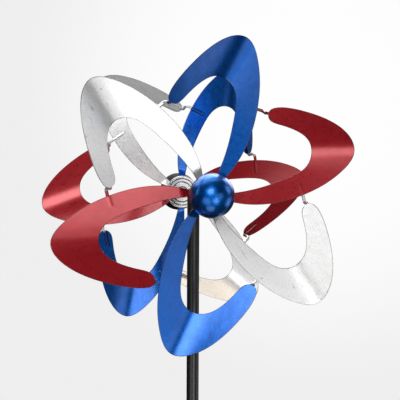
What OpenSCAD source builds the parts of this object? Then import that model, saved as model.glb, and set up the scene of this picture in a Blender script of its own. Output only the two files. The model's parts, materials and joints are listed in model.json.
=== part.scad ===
// Kinetic wind sculpture: two six-blade rotors turn on one horizontal axle
// at the head of a three-section pole on a four-prong ground stake.
// Millimetres. Z is up, -Y is the front, and Z = 0 is the ground line.

/* [Height] */
// Height of the axle above the ground line
axle_z = 1370; // [1200:10:1500]
// Height of the lower pole joint
joint_1_z = 459; // [400:1:520]
// Height of the upper pole joint
joint_2_z = 918; // [860:1:980]

/* [Rotors] */
// Distance from the pole's axis to each rotor's blade roots
rotor_y = 119; // [112:1:130]
// Size of the blades, where 1 is a rotor of 610 mm diameter
blade_scale = 1; // [0.98:0.01:1]
// Blade sheet thickness, measured along the axle
sheet_t = 1.2; // [1:0.1:1.4]
// Angle of the front rotor's first blade, counter-clockwise from the right
front_angle = 64.3; // [60:0.1:70]
// Angle of the rear rotor's first blade, counter-clockwise from the right
rear_angle = 78.4; // [72:0.1:84]
// Radius of the tie rods between neighbouring blades
tie_r = 3.2; // [2.6:0.1:3.4]

/* [Hub] */
// Radius of the hub flange and of the clamp disc
hub_r = 35.5; // [34:0.5:36]
// Radius of the hollow ball over each hub
ball_r = 42; // [41.5:0.1:42.5]
// Distance from the blade roots to the ball's centre
ball_offset = 37; // [36.5:0.1:37.5]
// Radius of the steel axle
axle_r = 4; // [3.9:0.05:4]

/* [Pole and stake] */
// Outer radius of the pole
pole_r = 12.7; // [12.5:0.1:12.9]
// Wall thickness of the pole
pole_wall = 1.2; // [1:0.1:1.5]
// Radius of the centre spike
spike_r = 6; // [5:0.5:7]
// Length of the centre spike with its point
spike_len = 230; // [180:5:260]
// Radius of the outer prongs
prong_r = 4; // [3:0.5:5]
// Length of the outer prongs below the ground line
prong_len = 190; // [150:5:220]
// Distance from the pole's axis to the outer prongs
prong_reach = 130; // [110:5:160]

/* [Hidden] */
$fn = 64;
BLADES = 6;

RED = "#96141f";
BLUE = "#0b3fa8";
SILVER = "#c8cbd0";
BLACK = "#141416";
STEEL = "#a9acb0";
// Blade colours, in order round each rotor
BLADE_COLOURS = [BLUE, SILVER, RED, BLUE, SILVER, RED];

// ---- Blade outline: cubic B-splines from the root, round the elbow, to the tip.
// x runs out along the blade's root, y runs the way the hook curls.
SPANS = 6;
KNOTS = [0, 0, 0, 0, 1, 2, 3, 4, 5, 6, 6, 6, 6];
OUTER_EDGE = [[33, -12], [89, -33], [196, -19], [274, 25], [308, 63], [276, 108], [199, 145],
              [119, 162], [118, 145]];
INNER_EDGE = [[36, 0], [75, -1], [147, 15], [202, 34], [217, 70], [199, 102], [146, 124],
              [117.5, 130.5], [118, 145]];
// Blade surface: pitched about its root line, with a soft fold along the line y = fold_y
root_flat_x = 36;
root_bend_x = 50;
slope_x = 0.075;
slope_y = -0.167;
twist = 0.057;
fold_y = 70.4;
fold_soft = 11.1;
fold_slope = 0.758;
rows = 36;
columns = 5;
tip_u = 5.97;
// Tang that is clamped in the hub
tang_x = 15.5;
tang_y0 = -12.5;
tang_y1 = 0.5;

// Tie rod from the back of one tip to the back of the next blade
TIE_PATH = [[151, 133, 34.4], [140, 137.8, 35.7], [126, 144, 37.1], [115, 147, 37.7], [118.6, 147.4, 22],
            [120, 151.8, 9.5], [108.6, 156.1, 9.5], [94.7, 160.1, 8.2], [79.7, 164.1, 6.2]];
tie_sides = 8;
tie_rings = 20;

// ---- Stations along the axle, as distances from the pole's axis
tang_in = rotor_y - sheet_t / 2;
tang_out = rotor_y + sheet_t / 2;
disc_t = 1.6;
cup_t = 1.5;
shell_t = 1.5;
cup_floor = tang_out + disc_t;
boss_face = rotor_y - 8.5;
bearing_w = 7;
bearing_a = rotor_y - 6.5;
bearing_b = bearing_a + 14;
barrel_end = bearing_b + 8;
ball_centre = rotor_y + ball_offset;
washer_t = 1.5;
nut_start = bearing_b + bearing_w + washer_t;
nut_t = 8;
axle_end = nut_start + nut_t + 3;

// ---- Hub and bearing radii
bearing_r = 11;
outer_race_r = 9;
inner_race_r = 6;
pitch_r = 7.5;
race_ball_r = 1.95;
race_groove_r = 2;
race_ball_count = 7;
shield_t = 0.5;
shield_in = 0.3;
shield_gap = 0.35;
barrel_r = 15;
slip = 0.02;
bore_slip = 0.05;
screw_ring_r = 19.5;
screw_angle = asin((tang_y0 + tang_y1) / 2 / screw_ring_r);
screw_r = 1.65;
screw_hole_r = 2.1;
screw_head_r = 3;
screw_depth = 5;
screw_tip = tang_in - screw_depth + 0.4;

// ---- Head fittings
saddle_r = 9;
saddle_out = pole_r + 2.8;
clamp_nut_t = 6.5;
sleeve_in = saddle_out + clamp_nut_t;
sleeve_r = 5.5;
nut_across_corners_r = 7.5;
cap_top_z = axle_z + 8.5;
pole_top_z = axle_z + 7.5;
cap_plug = 2.5;
swage_len = 40;
swage_gap = 0.05;
socket_wall = 1.6;
socket_top_z = 74;
bar_t = 4;
bar_w = 25;
prong_rivet_r = 3;
point_len = 30;
pole_screw_r = 2.5;
pole_screw_head_r = 4.5;

// ---------------------------------------------------------------- curves
function basis(i, p, u) = p == 0 ? (KNOTS[i] <= u && u < KNOTS[i + 1] ? 1 : 0) :
  basis_part(i, p, u, KNOTS[i], KNOTS[i + p], 0) + basis_part(i, p, u, KNOTS[i + 1], KNOTS[i + p + 1], 1);
function basis_part(i, p, u, a, b, falling) = a == b ? 0 :
  (falling == 1 ? (b - u) : (u - a)) / (b - a) * basis(i + falling, p - 1, u);
function weighted_sum(points, u, i = 0) = i == len(points) - 1 ? basis(i, 3, u) * points[i] :
  basis(i, 3, u) * points[i] + weighted_sum(points, u, i + 1);
function spline(points, u) = weighted_sum(points, min(u, SPANS - 0.00001));
function smooth(t) = t <= 0 ? 0 : t >= 1 ? 1 : t * t * (3 - 2 * t);
function fold_rise(y) = fold_slope * fold_soft * ln(1 + exp((y - fold_y) / fold_soft));
function sheet_height(x, y) = smooth((x - root_flat_x) / (root_bend_x - root_flat_x)) *
  (slope_x * (x - 30) + (slope_y + twist * (x / 100 - 1)) * y + fold_rise(y));
function blade_point(u, v) = let (p = (1 - v) * spline(OUTER_EDGE, u) + v * spline(INNER_EDGE, u))
  [p.x, p.y, sheet_height(p.x, p.y)];
function tang_point(v) = [tang_x, tang_y0 + v * (tang_y1 - tang_y0), 0];

// ---------------------------------------------------------------- placing
// Puts a rotor's own frame (x, y in the rotor's plane, z outward) on the axle
module on_side(side) {
  translate([0, 0, axle_z]) rotate([side == "front" ? 90 : -90, 0, 0]) children();
}
module blade_place(side, i) {
  turn = side == "front" ? front_angle + 60 * (i - 1) : -(rear_angle + 60 * (i - 1));
  on_side(side) rotate([0, 0, turn]) children();
}
module both_sides() {
  for (side = ["front", "rear"]) on_side(side) children();
}
module ring(r_out, r_in, from, to) {
  translate([0, 0, from]) difference() {
    cylinder(r = r_out, h = to - from);
    translate([0, 0, -1]) cylinder(r = r_in, h = to - from + 2);
  }
}
module hex_nut(from, height) {
  translate([0, 0, from]) difference() {
    cylinder(r = nut_across_corners_r, h = height, $fn = 6);
    translate([0, 0, -1]) cylinder(r = axle_r + bore_slip, h = height + 2);
  }
}

// ---------------------------------------------------------------- blades and tie rods
module blade_sheet() {
  w = columns + 1;
  upper = [for (row = [-1:rows]) for (c = [0:columns])
    (row < 0 ? tang_point(c / columns) : blade_point(tip_u * row / rows, c / columns)) + [0, 0, sheet_t / 2]];
  lower = [for (p = upper) p - [0, 0, sheet_t]];
  n = len(upper);
  last = n - w;
  top = [for (r = [0:rows]) for (c = [0:columns - 1]) let (a = r * w + c)
    each [[a, a + w, a + 1], [a + 1, a + w, a + w + 1]]];
  bottom = [for (f = top) [f[0] + n, f[2] + n, f[1] + n]];
  sides = [for (r = [0:rows]) let (a = r * w, b = r * w + columns)
    each [[a, a + n, a + w], [a + w, a + n, a + w + n], [b, b + w, b + n], [b + w, b + w + n, b + n]]];
  ends = [for (c = [0:columns - 1]) let (a = c, b = last + c)
    each [[a, a + 1, a + n], [a + 1, a + 1 + n, a + n], [b, b + n, b + 1], [b + 1, b + n, b + 1 + n]]];
  scale(blade_scale) polyhedron(points = concat(upper, lower), faces = concat(top, bottom, sides, ends));
}
module blade(side, i) {
  color(BLADE_COLOURS[i - 1]) blade_place(side, i) translate([0, 0, rotor_y]) difference() {
    blade_sheet();
    rotate([0, 0, screw_angle]) translate([screw_ring_r, 0, -sheet_t])
      cylinder(r = screw_hole_r, h = 2 * sheet_t, $fn = 24);
  }
}
function unit(v) = v / norm(v);
function tie_ring(u) = let (
    p = spline(TIE_PATH, u),
    along = unit(spline(TIE_PATH, u + 0.01) - spline(TIE_PATH, u - 0.01)),
    side = unit(cross(along, [0.4, 0.9, 0.1])),
    up = cross(side, along))
  [for (k = [0:tie_sides - 1]) p + tie_r * (cos(360 * k / tie_sides) * side + sin(360 * k / tie_sides) * up)];
module tie_rod(side, i) {
  m = tie_sides;
  rings = [for (k = [0:tie_rings]) each tie_ring(0.02 + (SPANS - 0.04) * k / tie_rings)];
  walls = [for (k = [0:tie_rings - 1]) for (j = [0:m - 1])
    let (a = k * m + j, b = k * m + (j + 1) % m) each [[a, b, a + m], [b, b + m, a + m]]];
  first = [for (j = [1:m - 2]) [0, j + 1, j]];
  final = [for (j = [1:m - 2]) let (a = tie_rings * m) [a, a + j, a + j + 1]];
  color(BLADE_COLOURS[i - 1]) blade_place(side, i) translate([0, 0, rotor_y])
    scale(blade_scale) polyhedron(points = rings, faces = concat(walls, first, final));
}

// ---------------------------------------------------------------- hubs
module hub_flange(side) {
  inner = bearing_r + slip;
  profile = [
    [inner, bearing_a], [inner + 1.4, boss_face + 0.2], [13, boss_face], [20.4, boss_face],
    [21.2, boss_face + 0.8], [21.8, rotor_y - 4], [24.1, rotor_y - 4], [24.7, rotor_y - 5.3],
    [28.2, rotor_y - 5.3], [28.9, rotor_y - 2.6], [30.9, rotor_y - 2.6], [31.6, rotor_y - 4],
    [hub_r - 0.8, rotor_y - 4], [hub_r, rotor_y - 3.2], [hub_r, tang_in], [barrel_r, tang_in],
    [barrel_r, barrel_end], [inner, barrel_end], [inner, bearing_b], [outer_race_r + 0.6, bearing_b],
    [outer_race_r + 0.6, bearing_a + bearing_w], [inner, bearing_a + bearing_w]];
  color(SILVER) on_side(side) difference() {
    rotate_extrude() polygon(profile);
    screw_pattern(side) translate([0, 0, tang_in - screw_depth])
      cylinder(r = screw_r + slip, h = screw_depth + 1);
  }
}
// One screw for each blade, in the middle of its tang
module screw_pattern(side) {
  first = side == "front" ? front_angle : -rear_angle;
  for (k = [0:BLADES - 1]) rotate([0, 0, first + 60 * k + screw_angle]) translate([screw_ring_r, 0, 0])
    children();
}
module bearing_outer_rings(side) {
  color(STEEL) on_side(side) for (start = [bearing_a, bearing_b]) {
    difference() {
      ring(bearing_r, outer_race_r, start, start + bearing_w);
      translate([0, 0, start + bearing_w / 2]) ball_track();
    }
    for (z = [start + shield_in, start + bearing_w - shield_in - shield_t])
      ring(outer_race_r + 0.2, inner_race_r + shield_gap, z, z + shield_t);
  }
}
module ball_track() {
  rotate_extrude() translate([pitch_r, 0]) circle(r = race_groove_r);
}
module bearing_balls(side) {
  color(SILVER) on_side(side) for (start = [bearing_a, bearing_b]) for (k = [1:race_ball_count])
    rotate([0, 0, 360 * k / race_ball_count]) translate([pitch_r, 0, start + bearing_w / 2])
      sphere(r = race_ball_r);
}
module clamp_disc(side) {
  color(STEEL) on_side(side) difference() {
    ring(hub_r, barrel_r + bore_slip, tang_out, cup_floor);
    screw_pattern(side) translate([0, 0, tang_out - 1]) cylinder(r = screw_hole_r, h = disc_t + 2);
  }
}
module clamp_screws(side) {
  color(STEEL) on_side(side) screw_pattern(side) {
    translate([0, 0, screw_tip]) cylinder(r = screw_r, h = cup_floor + cup_t - screw_tip);
    translate([0, 0, cup_floor + cup_t]) cylinder(r = screw_head_r, h = 2);
  }
}
module ball_back_half(side) {
  color(BLACK) on_side(side) difference() {
    intersection() {
      translate([0, 0, ball_centre]) sphere(r = ball_r, $fn = 96);
      translate([0, 0, cup_floor]) cylinder(r = ball_r + 1, h = ball_centre - cup_floor);
    }
    intersection() {
      translate([0, 0, ball_centre]) sphere(r = ball_r - shell_t, $fn = 96);
      translate([0, 0, cup_floor + cup_t]) cylinder(r = ball_r + 1, h = ball_r);
    }
    translate([0, 0, cup_floor - 1]) cylinder(r = barrel_r + bore_slip, h = 5);
    screw_pattern(side) translate([0, 0, cup_floor - 1]) cylinder(r = screw_hole_r, h = cup_t + 2);
  }
}
module ball_outer_half(side) {
  lip_r = ball_r - shell_t - 0.7;
  color(BLUE) on_side(side) {
    difference() {
      intersection() {
        translate([0, 0, ball_centre]) sphere(r = ball_r, $fn = 96);
        translate([0, 0, ball_centre]) cylinder(r = ball_r + 1, h = ball_r + 1);
      }
      intersection() {
        translate([0, 0, ball_centre]) sphere(r = ball_r - shell_t, $fn = 96);
        translate([0, 0, ball_centre + 1.5]) cylinder(r = ball_r, h = ball_r);
      }
      translate([0, 0, ball_centre - 1]) cylinder(r = lip_r - 1.2, h = 3);
    }
    ring(lip_r, lip_r - 1.2, ball_centre - 6, ball_centre + 0.5);
  }
}

// ---------------------------------------------------------------- axle and head
module axle_rod() {
  color(STEEL) translate([0, axle_end, axle_z]) rotate([90, 0, 0]) cylinder(r = axle_r, h = 2 * axle_end);
}
module saddle_washers() {
  color(STEEL) difference() {
    both_sides() ring(saddle_r, axle_r + bore_slip, pole_r - 4, saddle_out);
    translate([0, 0, axle_z - 20]) cylinder(r = pole_r + slip, h = 40);
  }
}
module pole_clamp_nuts() {
  color(STEEL) both_sides() hex_nut(saddle_out, clamp_nut_t);
}
module spacer_sleeve(side) {
  color(STEEL) on_side(side) ring(sleeve_r, axle_r + bore_slip, sleeve_in, bearing_a);
}
module bearing_inner_rings() {
  color(STEEL) both_sides() for (start = [bearing_a, bearing_b]) difference() {
    ring(inner_race_r, axle_r + bore_slip, start, start + bearing_w);
    translate([0, 0, start + bearing_w / 2]) ball_track();
  }
}
module bearing_spacers() {
  color(STEEL) both_sides() ring(sleeve_r, axle_r + bore_slip, bearing_a + bearing_w, bearing_b);
}
module end_washers() {
  color(STEEL) both_sides() ring(inner_race_r, axle_r + bore_slip, bearing_b + bearing_w, nut_start);
}
module lock_nuts() {
  color(STEEL) both_sides() hex_nut(nut_start, nut_t);
}

// ---------------------------------------------------------------- pole
module pole_tube(from, to, swaged, screwed) {
  bore_r = pole_r - pole_wall;
  neck_r = bore_r - swage_gap;
  difference() {
    union() {
      translate([0, 0, from]) cylinder(r = pole_r, h = to - from);
      if (swaged) translate([0, 0, from - swage_len]) cylinder(r = neck_r, h = swage_len + 1);
    }
    translate([0, 0, swaged ? from + 1 : from - 1]) cylinder(r = bore_r, h = to - from + 1);
    if (swaged) {
      translate([0, 0, from - swage_len - 1]) cylinder(r = neck_r - pole_wall, h = swage_len + 3);
      screw_bore(from - swage_len / 2);
    }
    if (screwed) screw_bore(to - swage_len / 2);
  }
}
module screw_bore(z) {
  translate([0, 0, z]) rotate([-90, 0, 0]) cylinder(r = pole_screw_r + bore_slip, h = pole_r + 4);
}
module pole_lower() {
  color(BLACK) difference() {
    pole_tube(bar_t, joint_1_z, false, true);
    screw_bore(socket_top_z - swage_len / 2);
  }
}
module pole_middle() {
  color(BLACK) pole_tube(joint_1_z, joint_2_z, true, true);
}
module pole_upper() {
  color(BLACK) difference() {
    pole_tube(joint_2_z, pole_top_z, true, false);
    translate([0, pole_r + 5, axle_z]) rotate([90, 0, 0])
      cylinder(r = axle_r + bore_slip, h = 2 * pole_r + 10);
  }
}
module pole_cap() {
  color(BLACK) {
    translate([0, 0, pole_top_z]) cylinder(r = pole_r, h = cap_top_z - pole_top_z);
    translate([0, 0, pole_top_z - cap_plug]) cylinder(r = pole_r - pole_wall - swage_gap, h = cap_plug + 0.5);
  }
}
module pole_joint_screws() {
  color(STEEL) for (joint = [[joint_1_z, pole_r], [joint_2_z, pole_r], [socket_top_z, pole_r + socket_wall]])
    translate([0, 0, joint[0] - swage_len / 2]) rotate([-90, 0, 0]) {
      translate([0, 0, pole_r - 5]) cylinder(r = pole_screw_r, h = joint[1] - pole_r + 5);
      translate([0, 0, joint[1] + slip]) cylinder(r = pole_screw_head_r, h = 2.4);
      translate([0, 0, joint[1] - 0.5]) cylinder(r = pole_screw_r, h = 1);
    }
}

// ---------------------------------------------------------------- ground stake
module pole_socket() {
  color(BLACK) difference() {
    ring(pole_r + socket_wall, pole_r + bore_slip, bar_t, socket_top_z);
    screw_bore(socket_top_z - swage_len / 2);
  }
}
module prong_holes() {
  for (k = [0:3]) rotate([0, 0, 90 * k]) translate([prong_reach, 0, -1])
    cylinder(r = prong_rivet_r + bore_slip, h = bar_t + 2);
}
module foot_bar_long() {
  color(BLACK) difference() {
    translate([-prong_reach - bar_w / 2, -bar_w / 2, 0]) cube([2 * prong_reach + bar_w, bar_w, bar_t]);
    prong_holes();
  }
}
module foot_bar_cross() {
  color(BLACK) difference() {
    for (k = [0:1]) rotate([0, 0, 180 * k]) translate([-bar_w / 2, bar_w / 2, 0])
      cube([bar_w, prong_reach, bar_t]);
    prong_holes();
  }
}
module pointed_rod(r, length) {
  translate([0, 0, point_len - length]) cylinder(r = r, h = length - point_len);
  translate([0, 0, -length]) cylinder(r1 = 0.8, r2 = r, h = point_len);
}
module centre_spike() {
  color(BLACK) pointed_rod(spike_r, spike_len);
}
module outer_prongs() {
  color(BLACK) for (k = [0:3]) rotate([0, 0, 90 * k]) translate([prong_reach, 0, 0]) {
    pointed_rod(prong_r, prong_len);
    cylinder(r = prong_rivet_r, h = bar_t);
  }
}

centre_spike();
outer_prongs();
foot_bar_long();
foot_bar_cross();
pole_socket();
pole_lower();
pole_middle();
pole_upper();
pole_joint_screws();
pole_cap();
axle_rod();
saddle_washers();
pole_clamp_nuts();
spacer_sleeve("front");  // front_spacer_sleeve
spacer_sleeve("rear");  // rear_spacer_sleeve
bearing_inner_rings();
bearing_spacers();
end_washers();
lock_nuts();
for (side = ["front", "rear"]) {
  hub_flange(side);
  bearing_outer_rings(side);
  bearing_balls(side);
  clamp_disc(side);
  clamp_screws(side);
  ball_back_half(side);
  ball_outer_half(side);
  for (i = [1:BLADES]) {
    blade(side, i);
    tie_rod(side, i);
  }
}
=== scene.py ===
import json
import math

import bpy
from mathutils import Matrix, Vector


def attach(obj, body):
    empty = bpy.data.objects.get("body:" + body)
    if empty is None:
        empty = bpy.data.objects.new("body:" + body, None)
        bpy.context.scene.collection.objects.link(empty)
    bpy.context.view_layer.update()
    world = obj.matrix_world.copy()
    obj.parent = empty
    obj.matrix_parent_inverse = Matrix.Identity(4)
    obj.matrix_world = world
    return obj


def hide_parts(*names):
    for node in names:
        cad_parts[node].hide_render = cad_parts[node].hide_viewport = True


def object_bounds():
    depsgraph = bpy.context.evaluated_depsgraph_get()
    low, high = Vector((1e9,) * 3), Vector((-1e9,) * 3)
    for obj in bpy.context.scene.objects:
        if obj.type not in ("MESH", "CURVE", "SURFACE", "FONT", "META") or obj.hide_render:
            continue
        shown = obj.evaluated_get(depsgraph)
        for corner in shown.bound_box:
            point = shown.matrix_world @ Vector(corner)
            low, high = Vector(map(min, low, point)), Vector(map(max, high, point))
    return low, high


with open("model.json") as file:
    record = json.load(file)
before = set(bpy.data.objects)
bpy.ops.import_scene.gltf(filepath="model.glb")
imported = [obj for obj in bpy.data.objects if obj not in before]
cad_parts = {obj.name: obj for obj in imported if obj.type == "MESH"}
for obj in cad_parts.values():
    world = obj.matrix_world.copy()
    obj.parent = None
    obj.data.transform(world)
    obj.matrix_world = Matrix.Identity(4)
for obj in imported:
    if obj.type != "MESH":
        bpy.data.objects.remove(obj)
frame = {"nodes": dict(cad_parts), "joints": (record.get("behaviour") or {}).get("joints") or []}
cad_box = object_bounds()

# ------------------------------------------------------------------ the rotors
MM = 0.001
BLADES = 6
SIDES = ("front", "rear")
# Each rotor's pivot on the axle, in metres, and the angle at which its first blade starts
PIVOT = {j["child"].split("_")[0]: Vector(j["pos_m"]) for j in frame["joints"]}
AXLE_Z = PIVOT["front"].z
FIRST_ANGLE = {"front": math.radians(64.3), "rear": math.radians(78.4)}
BLADE_ANGLE = 360 / BLADES
COLOUR_ORDER = ("blue", "silver", "red", "blue", "silver", "red")

# ------------------------------------------------------------------ a blade, in millimetres
# In the blade's own frame: x out along the root, y the way the hook curls, z outward from the
# pole. Both edges are cubic splines over the same spans, from the root to the shared tip point
SPANS = 6
DEGREE = 3
KNOTS = (0, 0, 0, 0, 1, 2, 3, 4, 5, 6, 6, 6, 6)
OUTER_EDGE = ((33, -12), (89, -33), (196, -19), (274, 25), (308, 63), (276, 108), (199, 145),
              (119, 162), (118, 145))
INNER_EDGE = ((36, 0), (75, -1), (147, 15), (202, 34), (217, 70), (199, 102), (146, 124),
              (117.5, 130.5), (118, 145))
SHEET_T = 1.1
# The tang that the hub clamps: its mesh rows along x, and its two long edges in y
TANG_X = (15.5, 19, 23, 27, 31)
TANG_Y = (-12.5, 0.5)
# The sheet is flat up to the first of these, and has its full slope from the second on
ROOT_FLAT_X, ROOT_BEND_X = 36, 50
# Slopes along and across the blade, measured from these places, and the soft fold past FOLD_Y
SLOPE_X, SLOPE_Y, TWIST = 0.075, -0.167, 0.057
SLOPE_FROM_X, TWIST_FROM_X = 30, 100
FOLD_Y, FOLD_SOFT, FOLD_SLOPE = 70.4, 11.1, 0.758
# Width of the strip beside each cut edge that takes the darker edge paint, part thin paint and part
# painted shade, and its greatest share
EDGE_RIM, EDGE_RIM_SHARE = 0.9, 0.2
# Mesh steps along a blade, in its rounded tip, across it and round each cut edge
BLADE_STEPS, TIP_STEPS, ACROSS_STEPS, EDGE_STEPS = 220, 40, 26, 4
# How much of the last span is used: the edges meet in a point just past it
TIP_REACH = 0.9995
# The weld's print through the sheet where the last blade's rod is fixed behind this one
WELD_FROM, WELD_TO = Vector((188, -12)), Vector((184, 4))
WELD_HEIGHT, WELD_WIDTH = 0.5, 2.2
WELD_SHOWS = {("front", 3), ("front", 6), ("rear", 1)}

# ------------------------------------------------------------------ a tie rod, in millimetres
# From the back of its own blade's tip to the back of the next blade, in its own blade's frame
TIE_PATH = ((151, 133, 34.4), (140, 137.8, 35.7), (126, 144, 37.1), (115, 147, 37.7),
            (118.6, 147.4, 22), (120, 151.8, 9.5), (108.6, 156.1, 9.5), (94.7, 160.1, 8.2),
            (79.7, 164.1, 6.2))
TIE_R = 3.2
TIE_STEPS = 72
ROD_SIDES, ROD_CAP_STEPS = 20, 4
# Where the paint stops and starts again along a tie rod, as steps; the steel between is bare. The
# darker paint on the first part is painted shade
PAINT_ENDS = {
    ("front", 1): (34, 40), ("front", 2): (25, 51), ("front", 5): (25, 73), ("front", 6): (62, 62),
    ("rear", 2): (25, 60), ("rear", 3): (10, 60), ("rear", 4): (22, 60), ("rear", 6): (38, 52),
}
PAINT_ENDS_USUAL = (25, 53)


# ------------------------------------------------------------------ curves
def basis(i, p, u):
    """The weight of control point i at u in a B-spline of degree p."""
    if p == 0:
        return 1.0 if KNOTS[i] <= u < KNOTS[i + 1] else 0.0
    rising, falling = KNOTS[i + p] - KNOTS[i], KNOTS[i + p + 1] - KNOTS[i + 1]
    value = 0.0
    if rising:
        value += (u - KNOTS[i]) / rising * basis(i, p - 1, u)
    if falling:
        value += (KNOTS[i + p + 1] - u) / falling * basis(i + 1, p - 1, u)
    return value


def spline(points, u):
    u = min(u, SPANS - 1e-6)
    total = Vector((0.0,) * len(points[0]))
    for i, point in enumerate(points):
        total += basis(i, DEGREE, u) * Vector(point)
    return total


def smooth(t):
    t = min(max(t, 0.0), 1.0)
    return t * t * (3 - 2 * t)


def sheet_height(x, y):
    rise = FOLD_SLOPE * FOLD_SOFT * math.log1p(math.exp((y - FOLD_Y) / FOLD_SOFT))
    bend = smooth((x - ROOT_FLAT_X) / (ROOT_BEND_X - ROOT_FLAT_X))
    slope_y = SLOPE_Y + TWIST * (x / TWIST_FROM_X - 1)
    return bend * (SLOPE_X * (x - SLOPE_FROM_X) + slope_y * y + rise)


def weld_print(x, y):
    spot, line = Vector((x, y)), WELD_TO - WELD_FROM
    along = min(max((spot - WELD_FROM).dot(line) / line.length_squared, 0), 1)
    away = (spot - WELD_FROM - along * line).length
    return WELD_HEIGHT * math.exp(-(away / WELD_WIDTH) ** 2)


def sheet_normal(x, y, step=0.2):
    slope_x = (sheet_height(x + step, y) - sheet_height(x - step, y)) / (2 * step)
    slope_y = (sheet_height(x, y + step) - sheet_height(x, y - step)) / (2 * step)
    return Vector((-slope_x, -slope_y, 1)).normalized()


def blade_frame(side, i):
    """A blade's own frame, placed on its rotor's pivot with z outward from the pole."""
    tip_over = Matrix.Rotation(math.radians(90 if side == "front" else -90), 4, "X")
    turn = FIRST_ANGLE[side] + math.radians(BLADE_ANGLE * (i - 1))
    turn_round = Matrix.Rotation(turn if side == "front" else -turn, 4, "Z")
    return Matrix.Translation(PIVOT[side]) @ tip_over @ turn_round


# ------------------------------------------------------------------ meshes
def new_object(name, verts, faces, materials):
    mesh = bpy.data.meshes.new(name)
    mesh.from_pydata([tuple(v) for v in verts], [], faces)
    mesh.validate()
    obj = bpy.data.objects.new(name, mesh)
    bpy.context.scene.collection.objects.link(obj)
    for material in materials:
        mesh.materials.append(material)
    mesh.shade_smooth()
    return obj


def loft(rings):
    """Joins rings of equal length into one closed skin. Returns vertices and faces."""
    n = len(rings[0])
    verts = [v for ring in rings for v in ring]
    faces = []
    for r in range(len(rings) - 1):
        for k in range(n):
            a, b = r * n + k, r * n + (k + 1) % n
            faces.append((a, b, b + n, a + n))
    faces.append(tuple(reversed(range(n))))
    faces.append(tuple(range((len(rings) - 1) * n, len(rings) * n)))
    return verts, faces


def blade_rows():
    """Pairs of edge points, from the tang's end to the rounded tip."""
    rows = [(Vector((x, TANG_Y[0])), Vector((x, TANG_Y[1]))) for x in TANG_X]
    last_span = SPANS - 1
    steps = [s * last_span / BLADE_STEPS for s in range(BLADE_STEPS + 1)]
    steps += [last_span + math.sin(math.pi / 2 * s / TIP_STEPS) * TIP_REACH
              for s in range(1, TIP_STEPS + 1)]
    rows += [(spline(OUTER_EDGE, u), spline(INNER_EDGE, u)) for u in steps]
    return rows


def rounded_edge(spot, away, first_normal):
    """The points round a cut edge, between the sheet's two faces, from the given normal on."""
    away = away.normalized() if away.length > 1e-6 else Vector((0, 0, 0))
    half = SHEET_T / 2
    angles = [math.pi * e / EDGE_STEPS for e in range(1, EDGE_STEPS)]
    return [spot + math.cos(a) * half * first_normal + math.sin(a) * half * away for a in angles]


def blade_mesh_data(printed):
    """The blade's skin: vertices, faces, and which of the faces take the darker edge paint, part
    thin paint and part painted shade.
    """
    half = SHEET_T / 2
    rings = []
    for outer, inner in blade_rows():
        rim = min(EDGE_RIM / max((inner - outer).length, EDGE_RIM), EDGE_RIM_SHARE)
        shares = [rim + (1 - 2 * rim) * c / ACROSS_STEPS for c in range(1, ACROSS_STEPS)]
        points = [outer.lerp(inner, share) for share in [0, rim, *shares, 1 - rim, 1]]
        spots = []
        for p in points:
            height = sheet_height(p.x, p.y) + (weld_print(p.x, p.y) if printed else 0)
            spots.append(Vector((p.x, p.y, height)))
        normals = [sheet_normal(p.x, p.y) for p in points]
        ring = [s + n * half for s, n in zip(spots, normals)]
        ring += rounded_edge(spots[-1], spots[-1] - spots[-2], normals[-1])
        ring += [s - n * half for s, n in zip(reversed(spots), reversed(normals))]
        ring += rounded_edge(spots[0], spots[0] - spots[1], -normals[0])
        rings.append([v * MM for v in ring])
    size, far = len(rings[0]), len(points) - 1
    # A face's place in its ring: the rounded edges and the one strip on each side of them
    edge_places = {*range(far - 1, far + EDGE_STEPS + 1), *range(size - EDGE_STEPS - 1, size), 0}
    edge_faces = [f for f in range(size * (len(rings) - 1)) if f % size in edge_places]
    return *loft(rings), edge_faces


def put_in_place(obj, side, i):
    """Turns the mesh itself into place. Each point keeps its place in the blade's own frame, moved
    on for each blade, so that the paint runs along the blade and no two wear the same marks."""
    own_place = obj.data.attributes.new("own_place", "FLOAT_VECTOR", "POINT")
    moved_on = Vector((SIDES.index(side) * BLADES + i, 0, 0))
    for vertex, own in zip(obj.data.vertices, own_place.data):
        own.vector = vertex.co + moved_on
    obj.data.transform(blade_frame(side, i))
    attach(obj, f"{side}_rotor")


def make_blade(side, i, verts, faces, edge_faces, materials):
    obj = new_object(f"{side}_rotor_blade_{i}", verts, faces, materials)
    for face in edge_faces:
        obj.data.polygons[face].material_index = 1
    put_in_place(obj, side, i)
    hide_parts(f"{side}_blade_{i}")


def rod_mesh(path, radius):
    """A round rod with domed ends along a list of points. Returns vertices and faces."""
    last = len(path) - 1
    along = [(path[min(k + 1, last)] - path[max(k - 1, 0)]).normalized() for k in range(last + 1)]
    dome = [math.pi / 2 * s / ROD_CAP_STEPS for s in range(1, ROD_CAP_STEPS)]
    stations = [(path[0] - along[0] * radius * math.cos(a), along[0], radius * math.sin(a))
                for a in dome]
    stations += [(p, t, radius) for p, t in zip(path, along)]
    stations += [(path[-1] + along[-1] * radius * math.sin(a), along[-1], radius * math.cos(a))
                 for a in dome]
    turns = [2 * math.pi * k / ROD_SIDES for k in range(ROD_SIDES)]
    side = along[0].orthogonal().normalized()
    rings = []
    for centre, direction, r in stations:
        side = (side - side.dot(direction) * direction).normalized()
        up = direction.cross(side)
        rings.append([centre + r * (math.cos(t) * side + math.sin(t) * up) for t in turns])
    return loft(rings)


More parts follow.
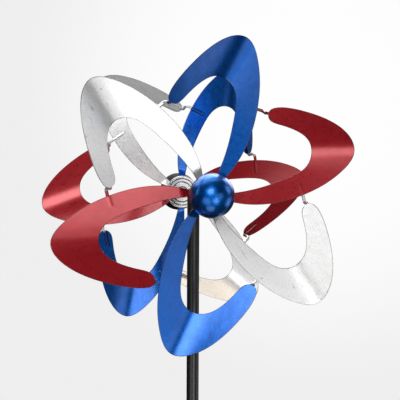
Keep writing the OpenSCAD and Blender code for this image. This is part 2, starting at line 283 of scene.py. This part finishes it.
# ------------------------------------------------------------------ materials
class Nodes:
    """A material's node tree, with short calls for the nodes used here. Scales are per metre."""

    def __init__(self, name, slot_colour, own_place=False):
        self.material = bpy.data.materials.new(name)
        self.material.use_nodes = True
        self.tree = self.material.node_tree
        self.shader = self.tree.nodes["Principled BSDF"]
        self.material.diffuse_color = (*slot_colour, 1)
        if own_place:
            stored = self.add("ShaderNodeAttribute", attribute_name="own_place")
            self.place = stored.outputs["Vector"]
        else:
            self.place = self.add("ShaderNodeTexCoord").outputs["Object"]

    def add(self, kind, **settings):
        node = self.tree.nodes.new(kind)
        for key, value in settings.items():
            setattr(node, key, value)
        return node

    def link(self, output, target):
        self.tree.links.new(output, target)

    def constant(self, **values):
        for key, value in values.items():
            self.shader.inputs[key.replace("_", " ")].default_value = value

    def stretched(self, scale):
        mapping = self.add("ShaderNodeMapping")
        mapping.inputs["Scale"].default_value = scale
        self.link(self.place, mapping.inputs["Vector"])
        return mapping.outputs["Vector"]

    def noise(self, scale, detail=2.0, rough=0.5, vector=None):
        node = self.add("ShaderNodeTexNoise")
        node.inputs["Scale"].default_value = scale
        node.inputs["Detail"].default_value = detail
        node.inputs["Roughness"].default_value = rough
        self.link(vector or self.place, node.inputs["Vector"])
        return node.outputs["Fac"]

    def cells(self, scale):
        """Distance from the nearest of many scattered points, and a lot drawn for each point."""
        node = self.add("ShaderNodeTexVoronoi")
        node.inputs["Scale"].default_value = scale
        self.link(self.place, node.inputs["Vector"])
        return node.outputs["Distance"], node.outputs["Color"]

    def ramp(self, value, low, high, to_low=0.0, to_high=1.0):
        node = self.add("ShaderNodeMapRange")
        for key, number in zip(("From Min", "From Max", "To Min", "To Max"),
                               (low, high, to_low, to_high)):
            node.inputs[key].default_value = number
        self.link(value, node.inputs["Value"])
        return node.outputs["Result"]

    def mix(self, factor, a, b):
        node = self.add("ShaderNodeMix", data_type="RGBA")
        for socket, colour in (("A", a), ("B", b)):
            target = next(s for s in node.inputs if s.name == socket and s.type == "RGBA")
            if isinstance(colour, tuple):
                target.default_value = (*colour, 1)
            else:
                self.link(colour, target)
        self.link(factor, next(s for s in node.inputs if s.name == "Factor"))
        return next(s for s in node.outputs if s.type == "RGBA")

    def maths(self, operation, a, b=0.0):
        node = self.add("ShaderNodeMath", operation=operation)
        for socket, value in zip(node.inputs, (a, b)):
            if isinstance(value, (int, float)):
                socket.default_value = value
            else:
                self.link(value, socket)
        return node.outputs[0]

    def bump(self, *layers):
        """Bumps on top of each other, each as its height, strength and distance in metres."""
        normal = None
        for height, strength, distance in layers:
            node = self.add("ShaderNodeBump")
            node.inputs["Strength"].default_value = strength
            node.inputs["Distance"].default_value = distance
            self.link(height, node.inputs["Height"])
            if normal is not None:
                self.link(normal, node.inputs["Normal"])
            normal = node.outputs["Normal"]
        self.link(normal, self.shader.inputs["Normal"])


# Dirt nibs in the paint: how many places per metre may have one, and the distances, as shares of
# the space between them, at which a nib is full and gone and its dark skirt is full and gone
NIB_SCALE = 44
NIB_FULL, NIB_GONE = 0.04, 0.075
SKIRT_FULL, SKIRT_GONE = 0.075, 0.10


def candy_paint(name, deep, light, chip, metallic=0.6, rough=(0.22, 0.32), coat_rough=0.15,
                coat_ior=1.5, waves=0.06, grain=0.05, nibs=0.78, scuffs=0.4, speckle=0.04,
                own_place=True):
    """Metallic lacquer over steel sheet: faint clouds, a wavy sheet, fine grain, scuffs and a few
    dirt nibs. A higher nibs gives fewer of them."""
    n = Nodes(name, light, own_place)
    clouds = n.noise(34, 3, 0.5)
    streaks = n.noise(40, 4, 0.65, n.stretched((0.6, 5, 5)))
    body = n.mix(n.ramp(n.maths("ADD", clouds, streaks), 0.7, 1.3), deep, light)
    flakes = n.ramp(n.noise(1300, 1), 0.5, 0.8, 0.0, 0.2)
    body = n.mix(flakes, body, light)
    scratches = n.noise(75, 5, 0.72, n.stretched((0.35, 1.6, 1.6)))
    scratched_areas = n.ramp(n.noise(13, 2), 0.38, 0.56)
    scratches = n.maths("MULTIPLY", n.ramp(scratches, 0.60, 0.70, 0.0, scuffs), scratched_areas)
    body = n.mix(scratches, body, chip)
    specks = n.ramp(n.noise(340, 3, 0.6), 0.50, 0.72, 0.0, speckle)
    body = n.mix(specks, body, chip)
    distance, lot = n.cells(NIB_SCALE)
    chosen = n.maths("GREATER_THAN", lot, nibs)
    nib = n.maths("MULTIPLY", n.ramp(distance, NIB_GONE, NIB_FULL), chosen)
    skirt = n.maths("MULTIPLY", n.ramp(distance, SKIRT_GONE, SKIRT_FULL), chosen)
    n.link(n.mix(n.maths("SUBTRACT", skirt, nib), body, chip), n.shader.inputs["Base Color"])
    n.link(n.ramp(n.noise(120, 4, 0.65), 0.3, 0.7, *rough), n.shader.inputs["Roughness"])
    dents, ripples, peel = n.noise(15, 2), n.noise(60, 3, 0.6), n.noise(380, 2)
    n.bump((dents, 0.4, 0.003), (ripples, waves, 0.0012), (peel, grain, 0.0008), (nib, 0.6, 0.0006))
    n.constant(Metallic=metallic, Coat_Weight=1.0, Coat_Roughness=coat_rough, Coat_IOR=coat_ior)
    return n.material


def plain_metal(name, colour, dark, rough, metallic=1.0, own_place=False):
    """Plated or bare steel with a fine cloudy grain."""
    n = Nodes(name, colour, own_place)
    marks = n.noise(12, 4, 0.6, n.stretched((60, 60, 60)))
    n.link(n.mix(n.ramp(marks, 0.3, 0.75), colour, dark), n.shader.inputs["Base Color"])
    n.link(n.ramp(n.noise(240, 3), 0.3, 0.7, *rough), n.shader.inputs["Roughness"])
    n.bump((marks, 0.12, 0.0004))
    n.constant(Metallic=metallic)
    return n.material


# Ring grooves in the hub flange, each from one radius to another round the axle, how softly their
# painted shade starts and ends, in metres, and the turning marks, in radians per metre
HUB_GROOVES = ((0.0213, 0.0232), (0.0286, 0.0303), (0.0108, 0.0122))
GROOVE_SOFT = 0.0003
TURNING_MARKS = 5200


def turned_metal(name, colour, dark, grooves):
    """Lathe-turned metal round the axle, with painted shade darkening its ring grooves."""
    n = Nodes(name, colour)
    offset = n.add("ShaderNodeVectorMath", operation="SUBTRACT")
    offset.inputs[1].default_value = (0, 0, AXLE_Z)
    n.link(n.place, offset.inputs[0])
    flat = n.add("ShaderNodeVectorMath", operation="MULTIPLY")
    flat.inputs[1].default_value = (1, 0, 1)
    n.link(offset.outputs["Vector"], flat.inputs[0])
    reach = n.add("ShaderNodeVectorMath", operation="LENGTH")
    n.link(flat.outputs["Vector"], reach.inputs[0])
    radius = reach.outputs["Value"]
    # Painted shade: each ring groove is painted in the near-black colour
    groove_shade = 0.0
    for start, end in grooves:
        past_start = n.ramp(radius, start - GROOVE_SOFT, start + GROOVE_SOFT)
        before_end = n.ramp(radius, end + GROOVE_SOFT, end - GROOVE_SOFT)
        groove_shade = n.maths("MAXIMUM", groove_shade, n.maths("MULTIPLY", past_start, before_end))
    rings = n.maths("SINE", n.maths("MULTIPLY", radius, TURNING_MARKS))
    n.link(n.mix(groove_shade, colour, dark), n.shader.inputs["Base Color"])
    n.link(n.ramp(n.noise(240, 3), 0.3, 0.7, 0.18, 0.30), n.shader.inputs["Roughness"])
    n.bump((rings, 0.04, 0.0001), (n.noise(90, 2), 0.05, 0.0006))
    n.constant(Metallic=1.0)
    return n.material


def coated_black(name, colour, light, rough, coat, peel, specular):
    """Powder coat or moulded plastic with an orange-peel surface of the given scale."""
    n = Nodes(name, colour)
    n.link(n.mix(n.ramp(n.noise(60, 4), 0.35, 0.75), colour, light), n.shader.inputs["Base Color"])
    n.link(n.ramp(n.noise(90, 3), 0.3, 0.7, *rough), n.shader.inputs["Roughness"])
    n.bump((n.noise(peel, 2), 0.12, 0.0005))
    n.constant(Coat_Weight=coat, Coat_Roughness=0.2, Specular_IOR_Level=specular)
    return n.material


# Each paint is given as its deep colour, its light colour, and that of scuffs, specks and dirt
PAINT = {
    "blue": candy_paint(
        "candy_blue", (0.0004, 0.088, 0.42), (0.0012, 0.112, 0.51), (0.002, 0.04, 0.20),
        metallic=0.85, rough=(0.24, 0.34), coat_rough=0.13, coat_ior=1.36, waves=0.12, nibs=0.9),
    "red": candy_paint(
        "candy_red", (0.40, 0.009, 0.017), (0.47, 0.012, 0.021), (0.24, 0.007, 0.013),
        metallic=0.42, rough=(0.25, 0.36), coat_rough=0.15, coat_ior=1.40, waves=0.09, nibs=0.9),
    "silver": candy_paint(
        "silver_lacquer", (0.95, 0.955, 0.96), (1.0, 1.0, 0.99), (0.42, 0.42, 0.43),
        metallic=0.62, rough=(0.28, 0.40), coat_rough=0.20, coat_ior=1.7, waves=0.08,
        grain=0.30, nibs=0.62, scuffs=0.9, speckle=0.3),
}
# Darker paint along the cut edges, part thin paint and part painted shade for their dark outline,
# and painted shade on the first part of each rod
EDGE_PAINT_AND_SHADE = {
    "blue": candy_paint(
        "candy_blue_edge_and_shade", (0.001, 0.02, 0.12), (0.002, 0.03, 0.18), (0.004, 0.01, 0.05)),
    "red": candy_paint(
        "candy_red_edge_and_shade", (0.16, 0.006, 0.01), (0.22, 0.01, 0.014), (0.05, 0.004, 0.008)),
    "silver": candy_paint(
        "silver_edge_and_shade", (0.36, 0.36, 0.365), (0.46, 0.46, 0.46), (0.2, 0.2, 0.2)),
}
BALL_BLUE = candy_paint(
    "ball_lacquer", (0.0005, 0.080, 0.40), (0.0020, 0.160, 0.62), (0.001, 0.02, 0.10),
    metallic=0.97, rough=(0.29, 0.40), coat_rough=0.12, coat_ior=1.34, waves=0.9, nibs=0.9,
    own_place=False)
BARE_ROD = plain_metal(
    "bare_rod", (0.90, 0.90, 0.89), (0.55, 0.55, 0.55), rough=(0.34, 0.48), metallic=0.5,
    own_place=True)
# Its near-black second colour is the painted shade in the ring grooves
HUB_ALLOY = turned_metal("turned_alloy", (0.96, 0.96, 0.96), (0.03, 0.03, 0.03), HUB_GROOVES)
ZINC = plain_metal("zinc_plate", (0.66, 0.67, 0.69), (0.46, 0.46, 0.47), rough=(0.26, 0.42))
RACE_STEEL = plain_metal("race_steel", (0.60, 0.60, 0.60), (0.44, 0.44, 0.44), rough=(0.14, 0.24))
POLE_BLACK = coated_black(
    "pole_coat", (0.011, 0.011, 0.012), (0.020, 0.020, 0.022),
    rough=(0.28, 0.38), coat=0.15, peel=520, specular=0.5)
BLACK_PLASTIC = coated_black(
    "black_plastic", (0.006, 0.006, 0.006), (0.010, 0.010, 0.010),
    rough=(0.5, 0.65), coat=0.0, peel=900, specular=0.12)


def paint_node(node, material):
    mesh = frame["nodes"][node].data
    mesh.materials.clear()
    mesh.materials.append(material)


ROOT_STEEL = ("axle_rod", "saddle_washers", "pole_clamp_nuts", "front_spacer_sleeve",
              "rear_spacer_sleeve", "bearing_spacers", "end_washers", "lock_nuts",
              "pole_joint_screws")
ROOT_BLACK = ("centre_spike", "outer_prongs", "foot_bar_long", "foot_bar_cross", "pole_socket",
              "pole_lower", "pole_middle", "pole_upper")
for name in ROOT_STEEL:
    paint_node(name, ZINC)
for name in ROOT_BLACK:
    paint_node(name, POLE_BLACK)
paint_node("pole_cap", BLACK_PLASTIC)
paint_node("bearing_inner_rings", RACE_STEEL)
for side in SIDES:
    paint_node(f"{side}_hub_flange", HUB_ALLOY)
    paint_node(f"{side}_bearing_outer_rings", RACE_STEEL)
    paint_node(f"{side}_bearing_balls", RACE_STEEL)
    paint_node(f"{side}_clamp_disc", ZINC)
    paint_node(f"{side}_clamp_screws", ZINC)
    paint_node(f"{side}_ball_back_half", BLACK_PLASTIC)
    paint_node(f"{side}_ball_outer_half", BALL_BLUE)

# ------------------------------------------------------------------ blades and tie rods
blade_shapes = {printed: blade_mesh_data(printed) for printed in (False, True)}
for side in SIDES:
    for i in range(1, BLADES + 1):
        colour = COLOUR_ORDER[i - 1]
        shape = blade_shapes[(side, i) in WELD_SHOWS]
        # The blade's second slot darkens its edge faces: part thin paint, part painted shade
        make_blade(side, i, *shape, [PAINT[colour], EDGE_PAINT_AND_SHADE[colour]])

tie_points = [spline(TIE_PATH, SPANS * k / TIE_STEPS) * MM for k in range(TIE_STEPS + 1)]
rod_verts, rod_faces = rod_mesh(tie_points, TIE_R * MM)
for side in SIDES:
    for i in range(1, BLADES + 1):
        own_colour = COLOUR_ORDER[i - 1]
        next_colour = COLOUR_ORDER[i % BLADES if side == "front" else (i - 2) % BLADES]
        # The rod's first part takes the darker edge paint as painted shade, then bare steel, then
        # the next blade's paint
        rod = new_object(f"{side}_rotor_tie_rod_{i}", rod_verts, rod_faces,
                         [EDGE_PAINT_AND_SHADE[own_colour], BARE_ROD, PAINT[next_colour]])
        stop, start = PAINT_ENDS.get((side, i), PAINT_ENDS_USUAL)
        for face in rod.data.polygons:
            step = min(face.vertices) // ROD_SIDES - (ROD_CAP_STEPS - 1)
            face.material_index = 0 if step < stop else 1 if step < start else 2
        put_in_place(rod, side, i)
        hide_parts(f"{side}_tie_rod_{i}")

# ------------------------------------------------------------------ stage
BACKDROP = 0.86
# A pale round floor under the stake's points, which fades into the backdrop towards its rim
FLOOR_GREY = (0.52, 0.52, 0.52, 1)
FLOOR_R, FLOOR_SOLID_R, FLOOR_FADED_R = 3.0, 0.9, 2.94
bpy.ops.mesh.primitive_circle_add(vertices=128, radius=FLOOR_R, fill_type="NGON",
                                  location=(0, 0, cad_box[0].z))
floor = bpy.context.object
floor.name = "studio_floor"
floor_nodes = Nodes("studio_floor", (BACKDROP,) * 3)
floor_nodes.constant(Base_Color=FLOOR_GREY, Roughness=0.8)
floor.data.materials.append(floor_nodes.material)
from_middle = floor_nodes.add("ShaderNodeVectorMath", operation="LENGTH")
floor_nodes.link(floor_nodes.place, from_middle.inputs[0])
solid = floor_nodes.ramp(from_middle.outputs["Value"], FLOOR_SOLID_R, FLOOR_FADED_R, 1.0, 0.0)
floor_nodes.link(solid, floor_nodes.shader.inputs["Alpha"])
floor.visible_diffuse = floor.visible_glossy = False

# Soft lights all round, each as azimuth (0 in front, positive to the right), elevation, the angles
# from its middle at which it starts to fade and has faded out, and strength. The last one is
# warm, and stands for a floor's reflection. The backdrop's glow is seen by the camera only
SOFT_LIGHTS = (
    (-22, 24, 9, 21, 5.6), (8, -23, 8, 19, 3.5), (8, -1, 3, 11, 1.3), (30, 1, 6, 17, 1.1),
    (-42, -25, 9, 24, 1.4), (84, -21, 7, 18, 1.4), (84, 22, 8, 19, 1.4), (142, 34, 10, 32, 3.0),
    (-160, 62, 10, 44, 3.4), (-29, -66, 8, 21, 2.0))
WARM = (1.0, 0.86, 0.68, 1)
DIM_AROUND = 0.024
BACKDROP_GLOW = (158, 6, 2, 24, 0.13)


def towards(azimuth, elevation):
    """The direction from the object towards a place on the sky."""
    a, e = math.radians(azimuth), math.radians(elevation)
    return Vector((math.sin(a) * math.cos(e), -math.cos(a) * math.cos(e), math.sin(e)))


world = bpy.data.worlds.new("studio")
bpy.context.scene.world = world
world.use_nodes = True
sky = world.node_tree
background = sky.nodes["Background"]
heading = sky.nodes.new("ShaderNodeTexCoord").outputs["Generated"]


def soft_light(azimuth, elevation, full, faded, power):
    """One round soft light in the given direction."""
    facing = sky.nodes.new("ShaderNodeVectorMath")
    facing.operation = "DOT_PRODUCT"
    facing.inputs[1].default_value = towards(azimuth, elevation)
    sky.links.new(heading, facing.inputs[0])
    fall = sky.nodes.new("ShaderNodeMapRange")
    fall.interpolation_type = "SMOOTHSTEP"
    fall.inputs["From Min"].default_value = math.cos(math.radians(faded))
    fall.inputs["From Max"].default_value = math.cos(math.radians(full))
    fall.inputs["To Max"].default_value = power
    sky.links.new(facing.outputs["Value"], fall.inputs["Value"])
    return fall.outputs["Result"]


def added(total, light):
    """The sum of a number or an output so far and one more light."""
    node = sky.nodes.new("ShaderNodeMath")
    if isinstance(total, float):
        node.inputs[0].default_value = total
    else:
        sky.links.new(total, node.inputs[0])
    sky.links.new(light, node.inputs[1])
    return node.outputs[0]


light_total = DIM_AROUND
for light in SOFT_LIGHTS:
    light_total = added(light_total, soft_light(*light))
tint = sky.nodes.new("ShaderNodeMix")
tint.data_type = "RGBA"
tint_sockets = {s.name: s for s in tint.inputs if s.type == "RGBA"}
tint_sockets["A"].default_value = (1, 1, 1, 1)
tint_sockets["B"].default_value = WARM
warm_share = soft_light(*SOFT_LIGHTS[-1][:4], 1)
sky.links.new(warm_share, next(s for s in tint.inputs if s.name == "Factor"))
sky.links.new(next(s for s in tint.outputs if s.type == "RGBA"), background.inputs["Color"])
# The camera sees the plain backdrop; everything else sees the lights
choose = sky.nodes.new("ShaderNodeMix")
ray = sky.nodes.new("ShaderNodeLightPath")
sky.links.new(ray.outputs["Is Camera Ray"], choose.inputs["Factor"])
sky.links.new(light_total, choose.inputs["A"])
sky.links.new(added(BACKDROP, soft_light(*BACKDROP_GLOW)), choose.inputs["B"])
sky.links.new(choose.outputs["Result"], background.inputs["Strength"])

# ------------------------------------------------------------------ camera
# Where the camera stands as seen from the head of the pole, and which way it looks from there
CAMERA_DISTANCE = 1.425
CAMERA_AZIMUTH, CAMERA_ELEVATION = -12.8, 1.65
AIM_AZIMUTH, AIM_ELEVATION, AIM_ROLL = -13.35, 2.2, math.radians(0.28)
SENSOR_WIDTH, LENS = 36, 62.1

camera_data = bpy.data.cameras.new("camera")
camera_data.sensor_width = SENSOR_WIDTH
camera_data.lens = LENS
camera = bpy.data.objects.new("camera", camera_data)
bpy.context.scene.collection.objects.link(camera)
back = towards(AIM_AZIMUTH, AIM_ELEVATION)
right = Vector((0, 0, 1)).cross(back).normalized()
up = back.cross(right)
turned_right = right * math.cos(AIM_ROLL) + up * math.sin(AIM_ROLL)
turned_up = up * math.cos(AIM_ROLL) - right * math.sin(AIM_ROLL)
pose = Matrix((turned_right, turned_up, back)).transposed().to_4x4()
stand = towards(CAMERA_AZIMUTH, CAMERA_ELEVATION) * CAMERA_DISTANCE
pose.translation = Vector((0, 0, AXLE_Z)) + stand
camera.matrix_world = pose
bpy.context.scene.camera = camera
bpy.context.scene.view_settings.view_transform = "Standard"
